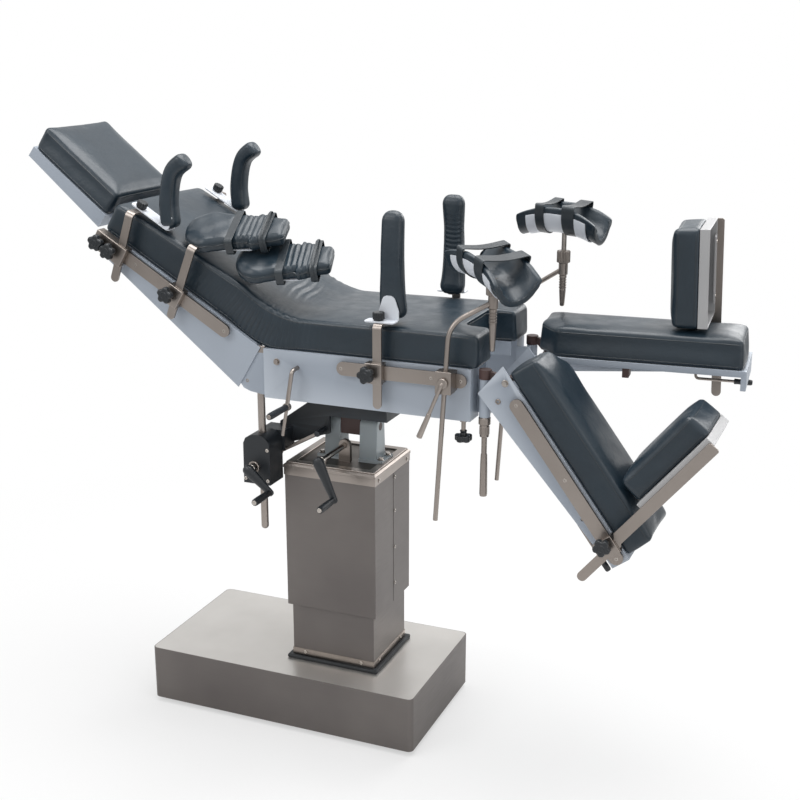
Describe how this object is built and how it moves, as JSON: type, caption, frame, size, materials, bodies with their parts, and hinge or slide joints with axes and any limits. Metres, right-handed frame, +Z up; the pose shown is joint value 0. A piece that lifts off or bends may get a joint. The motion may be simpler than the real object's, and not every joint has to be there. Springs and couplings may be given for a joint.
{
  "type": "operating table",
  "caption": "Operating table on a lifting column, with seat, back, head and split leg sections, side rails, supports, leg holders and hand cranks.",
  "frame": {"origin": "middle of the bounding box at the floor, with the sections in the pose of the picture", "axes": "+X along the table towards the foot end, +Y to the side away from the hand cranks, +Z up"},
  "size_m": [2.0594, 0.6956, 1.7354],
  "materials": {
    "steel": "brushed stainless steel",
    "polished_steel": "polished",
    "frame_paint": "satin grey-blue paint",
    "bracket_paint": "satin grey paint",
    "casting": "satin black paint on a casting",
    "brown_casting": "satin brown paint on a casting",
    "rubber": "matt",
    "black_plastic": "satin",
    "leather": "dark slate synthetic leather"
  },
  "bodies": {
    "base": {"base_cover": "steel", "base_frame": "casting", "column_gasket": "rubber", "inner_column_shell": "steel", "lift_cylinder": "frame_paint"},
    "column": {"outer_column_shell": "steel", "column_top_plate": "steel", "lift_ram": "polished_steel", "trunnion_bracket_left": "bracket_paint", "trunnion_bracket_right": "bracket_paint"},
    "lateral_crank": {"lateral_tilt_crank": "casting"},
    "cradle": {"cross_head": "brown_casting", "tilt_arm": "casting", "gearbox_housing": "casting"},
    "tilt_crank": {"tilt_crank": "casting"},
    "tilt_screw": {"tilt_screw": "polished_steel"},
    "seat": {"seat_frame": "frame_paint", "seat_rail_near": "steel", "seat_rail_far": "steel", "seat_cushion": "leather", "mattress_fold": "leather"},
    "leg_lock": {"leg_lock_knob": "black_plastic"},
    "back_crank": {"back_crank": "steel"},
    "back": {"back_frame": "frame_paint", "back_rail_near": "steel", "back_rail_far": "steel", "back_cushion": "leather"},
    "head": {"head_frame": "frame_paint", "head_cushion": "leather"},
    "swivel_near": {"leg_swivel_near": "brown_casting"},
    "swivel_far": {"leg_swivel_far": "brown_casting"},
    "lock_near": {"leg_lock_handle_near": "steel"},
    "lock_far": {"leg_lock_handle_far": "steel"},
    "leg_near": {"leg_frame_near": "frame_paint", "leg_cushion_near": "leather"},
    "leg_far": {"leg_frame_far": "frame_paint", "leg_cushion_far": "leather"},
    "release_near": {"leg_release_lever_near": "steel"},
    "release_far": {"leg_release_lever_far": "steel"},
    "foot_near": {"foot_bar_near": "steel", "foot_cushion_near": "leather"},
    "foot_far": {"foot_bar_far": "steel", "foot_cushion_far": "leather"},
    "side_bar_near": {"side_support_bar_near": "steel"},
    "side_bar_far": {"side_support_bar_far": "steel"},
    "side_pad_near": {"side_support_pad_near": "leather"},
    "side_pad_far": {"side_support_pad_far": "leather"},
    "shoulder_bar_near": {"shoulder_support_bar_near": "steel"},
    "shoulder_bar_far": {"shoulder_support_bar_far": "steel"},
    "shoulder_pad_near": {"shoulder_support_pad_near": "leather"},
    "shoulder_pad_far": {"shoulder_support_pad_far": "leather"},
    "arm_bar_near": {"arm_board_bar_near": "steel"},
    "arm_bar_far": {"arm_board_bar_far": "steel"},
    "arm_pad_near": {"arm_board_pad_near": "leather"},
    "arm_pad_far": {"arm_board_pad_far": "leather"},
    "holder_rod_near": {"leg_holder_rod_near": "steel"},
    "holder_rod_far": {"leg_holder_rod_far": "steel"},
    "trough_near": {"leg_holder_trough_near": "black_plastic"},
    "trough_far": {"leg_holder_trough_far": "black_plastic"}
  },
  "joints": [
    {"name": "column_lift", "type": "slide", "parent": "base", "child": "column", "axis": [0, 0, 1], "range_m": [-0.16, 0.12]},
    {"name": "lateral_tilt", "type": "hinge", "parent": "column", "child": "cradle", "pos_m": [-0.08647, 0.01824, 0.906], "axis": [1, 0, 0], "range_deg": [-15, 15]},
    {"name": "lateral_crank_turn", "type": "hinge", "parent": "column", "child": "lateral_crank", "pos_m": [-0.07247, 0.01824, 0.853], "axis": [0, 1, 0], "range_deg": [-136, 136]},
    {"name": "table_tilt", "type": "hinge", "parent": "cradle", "child": "seat", "pos_m": [0.02553, 0.01824, 1.05], "axis": [0, 1, 0], "range_deg": [-20, 20]},
    {"name": "tilt_crank_turn", "type": "hinge", "parent": "cradle", "child": "tilt_crank", "pos_m": [-0.29347, 0.01824, 0.802], "axis": [0, 1, 0], "range_deg": [-361, 361]},
    {"name": "tilt_screw_travel", "type": "slide", "parent": "cradle", "child": "tilt_screw", "axis": [0, 0, 1], "range_m": [-0.11, 0.11]},
    {"name": "leg_lock_turn", "type": "hinge", "parent": "seat", "child": "leg_lock", "pos_m": [0.34953, -0.19376, 1.027], "axis": [0, 0, 1], "continuous": true},
    {"name": "back_raise", "type": "hinge", "parent": "seat", "child": "back", "pos_m": [-0.24247, 0.01824, 1.153], "axis": [0, 1, 0], "range_deg": [-31, 35], "deforming": ["mattress_fold"]},
    {"name": "back_crank_turn", "type": "hinge", "parent": "seat", "child": "back_crank", "pos_m": [-0.12747, 0.01824, 1.122], "axis": [0, 1, 0], "range_deg": [-300, 340]},
    {"name": "head_raise", "type": "hinge", "parent": "back", "child": "head", "pos_m": [-0.74134, 0.01824, 1.45275], "axis": [0, 1, 0], "range_deg": [-75, 20]},
    {"name": "leg_swing_near", "type": "hinge", "parent": "seat", "child": "swivel_near", "pos_m": [0.40553, -0.18776, 1.167], "axis": [0, 0, -1], "range_deg": [0, 90]},
    {"name": "leg_swing_far", "type": "hinge", "parent": "seat", "child": "swivel_far", "pos_m": [0.40553, 0.22424, 1.167], "axis": [0, 0, 1], "range_deg": [-4.5, 85.5]},
    {"name": "leg_lock_handle_turn_near", "type": "hinge", "parent": "swivel_near", "child": "lock_near", "pos_m": [0.40553, -0.18776, 1.03], "axis": [0, 0, 1], "range_deg": [-90, 90]},
    {"name": "leg_lock_handle_turn_far", "type": "hinge", "parent": "swivel_far", "child": "lock_far", "pos_m": [0.40553, 0.22424, 1.03], "axis": [0, 0, 1], "range_deg": [-90, 90]},
    {"name": "leg_flex_near", "type": "hinge", "parent": "swivel_near", "child": "leg_near", "pos_m": [0.46553, -0.09526, 1.14], "axis": [0, 1, 0], "range_deg": [-63.6, 36.4]},
    {"name": "leg_flex_far", "type": "hinge", "parent": "swivel_far", "child": "leg_far", "pos_m": [0.4726, 0.13673, 1.14], "axis": [-0.0785, 0.9969, 0], "range_deg": [-10, 90]},
    {"name": "leg_release_near", "type": "hinge", "parent": "leg_near", "child": "release_near", "pos_m": [0.68155, -0.09526, 0.79982], "axis": [0, 1, 0], "range_deg": [0, 20], "stiffness_Nm_per_rad": 2, "springref_deg": -20.05},
    {"name": "leg_release_far", "type": "hinge", "parent": "leg_far", "child": "release_far", "pos_m": [0.87336, 0.16827, 1.112], "axis": [-0.0785, 0.9969, 0], "range_deg": [0, 20], "stiffness_Nm_per_rad": 2, "springref_deg": -20.05},
    {"name": "foot_plate_slide_near", "type": "slide", "parent": "leg_near", "child": "foot_near", "axis": [0.5934, 0, -0.8049], "range_m": [-0.15, 0.03]},
    {"name": "foot_plate_slide_far", "type": "slide", "parent": "leg_far", "child": "foot_far", "axis": [0.9969, 0.0785, 0], "range_m": [-0.12, 0.07]},
    {"name": "side_support_slide_near", "type": "slide", "parent": "seat", "child": "side_bar_near", "axis": [1, 0, 0], "range_m": [0, 0.09]},
    {"name": "side_support_slide_far", "type": "slide", "parent": "seat", "child": "side_bar_far", "axis": [1, 0, 0], "range_m": [-0.1, 0.09]},
    {"name": "side_support_turn_near", "type": "hinge", "parent": "side_bar_near", "child": "side_pad_near", "pos_m": [0.12153, -0.20776, 1.271], "axis": [0, 0, 1], "range_deg": [-60, 60]},
    {"name": "side_support_turn_far", "type": "hinge", "parent": "side_bar_far", "child": "side_pad_far", "pos_m": [0.15353, 0.24424, 1.271], "axis": [0, 0, 1], "range_deg": [-60, 60]},
    {"name": "shoulder_support_slide_near", "type": "slide", "parent": "back", "child": "shoulder_bar_near", "axis": [0.8572, 0, -0.515], "range_m": [0, 0.02]},
    {"name": "shoulder_support_slide_far", "type": "slide", "parent": "back", "child": "shoulder_bar_far", "axis": [0.8572, 0, -0.515], "range_m": [0, 0.02]},
    {"name": "shoulder_support_turn_near", "type": "hinge", "parent": "shoulder_bar_near", "child": "shoulder_pad_near", "pos_m": [-0.6207, -0.19026, 1.52565], "axis": [0.515, 0, 0.8572], "range_deg": [-30, 60]},
    {"name": "shoulder_support_turn_far", "type": "hinge", "parent": "shoulder_bar_far", "child": "shoulder_pad_far", "pos_m": [-0.6207, 0.22674, 1.52565], "axis": [-0.515, 0, -0.8572], "range_deg": [-30, 60]},
    {"name": "arm_board_slide_near", "type": "slide", "parent": "back", "child": "arm_bar_near", "axis": [0.8572, 0, -0.515], "range_m": [-0.02, 0.06]},
    {"name": "arm_board_slide_far", "type": "slide", "parent": "back", "child": "arm_bar_far", "axis": [0.8572, 0, -0.515], "range_m": [-0.06, 0]},
    {"name": "arm_board_turn_near", "type": "hinge", "parent": "arm_bar_near", "child": "arm_pad_near", "pos_m": [-0.42602, -0.20826, 1.44374], "axis": [0, 0, -1], "range_deg": [-15, 90]},
    {"name": "arm_board_turn_far", "type": "hinge", "parent": "arm_bar_far", "child": "arm_pad_far", "pos_m": [-0.3174, -0.06526, 1.36697], "axis": [0, 0, -1], "range_deg": [-60, 15]},
    {"name": "leg_holder_slide_near", "type": "slide", "parent": "seat", "child": "holder_rod_near", "axis": [1, 0, 0], "range_m": [-0.025, 0.035]},
    {"name": "leg_holder_slide_far", "type": "slide", "parent": "seat", "child": "holder_rod_far", "axis": [1, 0, 0], "range_m": [-0.06, 0.035]},
    {"name": "leg_holder_turn_near", "type": "hinge", "parent": "holder_rod_near", "child": "trough_near", "pos_m": [0.42183, -0.18576, 1.345], "axis": [0, 0, 1], "range_deg": [-60, 60]},
    {"name": "leg_holder_turn_far", "type": "hinge", "parent": "holder_rod_far", "child": "trough_far", "pos_m": [0.48281, 0.24624, 1.362], "axis": [0, 0, 1], "range_deg": [-60, 60]}
  ],
  "couplings": [
    {"joint": "lateral_crank_turn", "follows": "lateral_tilt", "ratio": 9},
    {"joint": "tilt_crank_turn", "follows": "table_tilt", "ratio": 18},
    {"joint": "tilt_screw_travel", "follows": "table_tilt", "m_per_rad": 0.312},
    {"joint": "back_crank_turn", "follows": "back_raise", "ratio": 9.6}
  ]
}
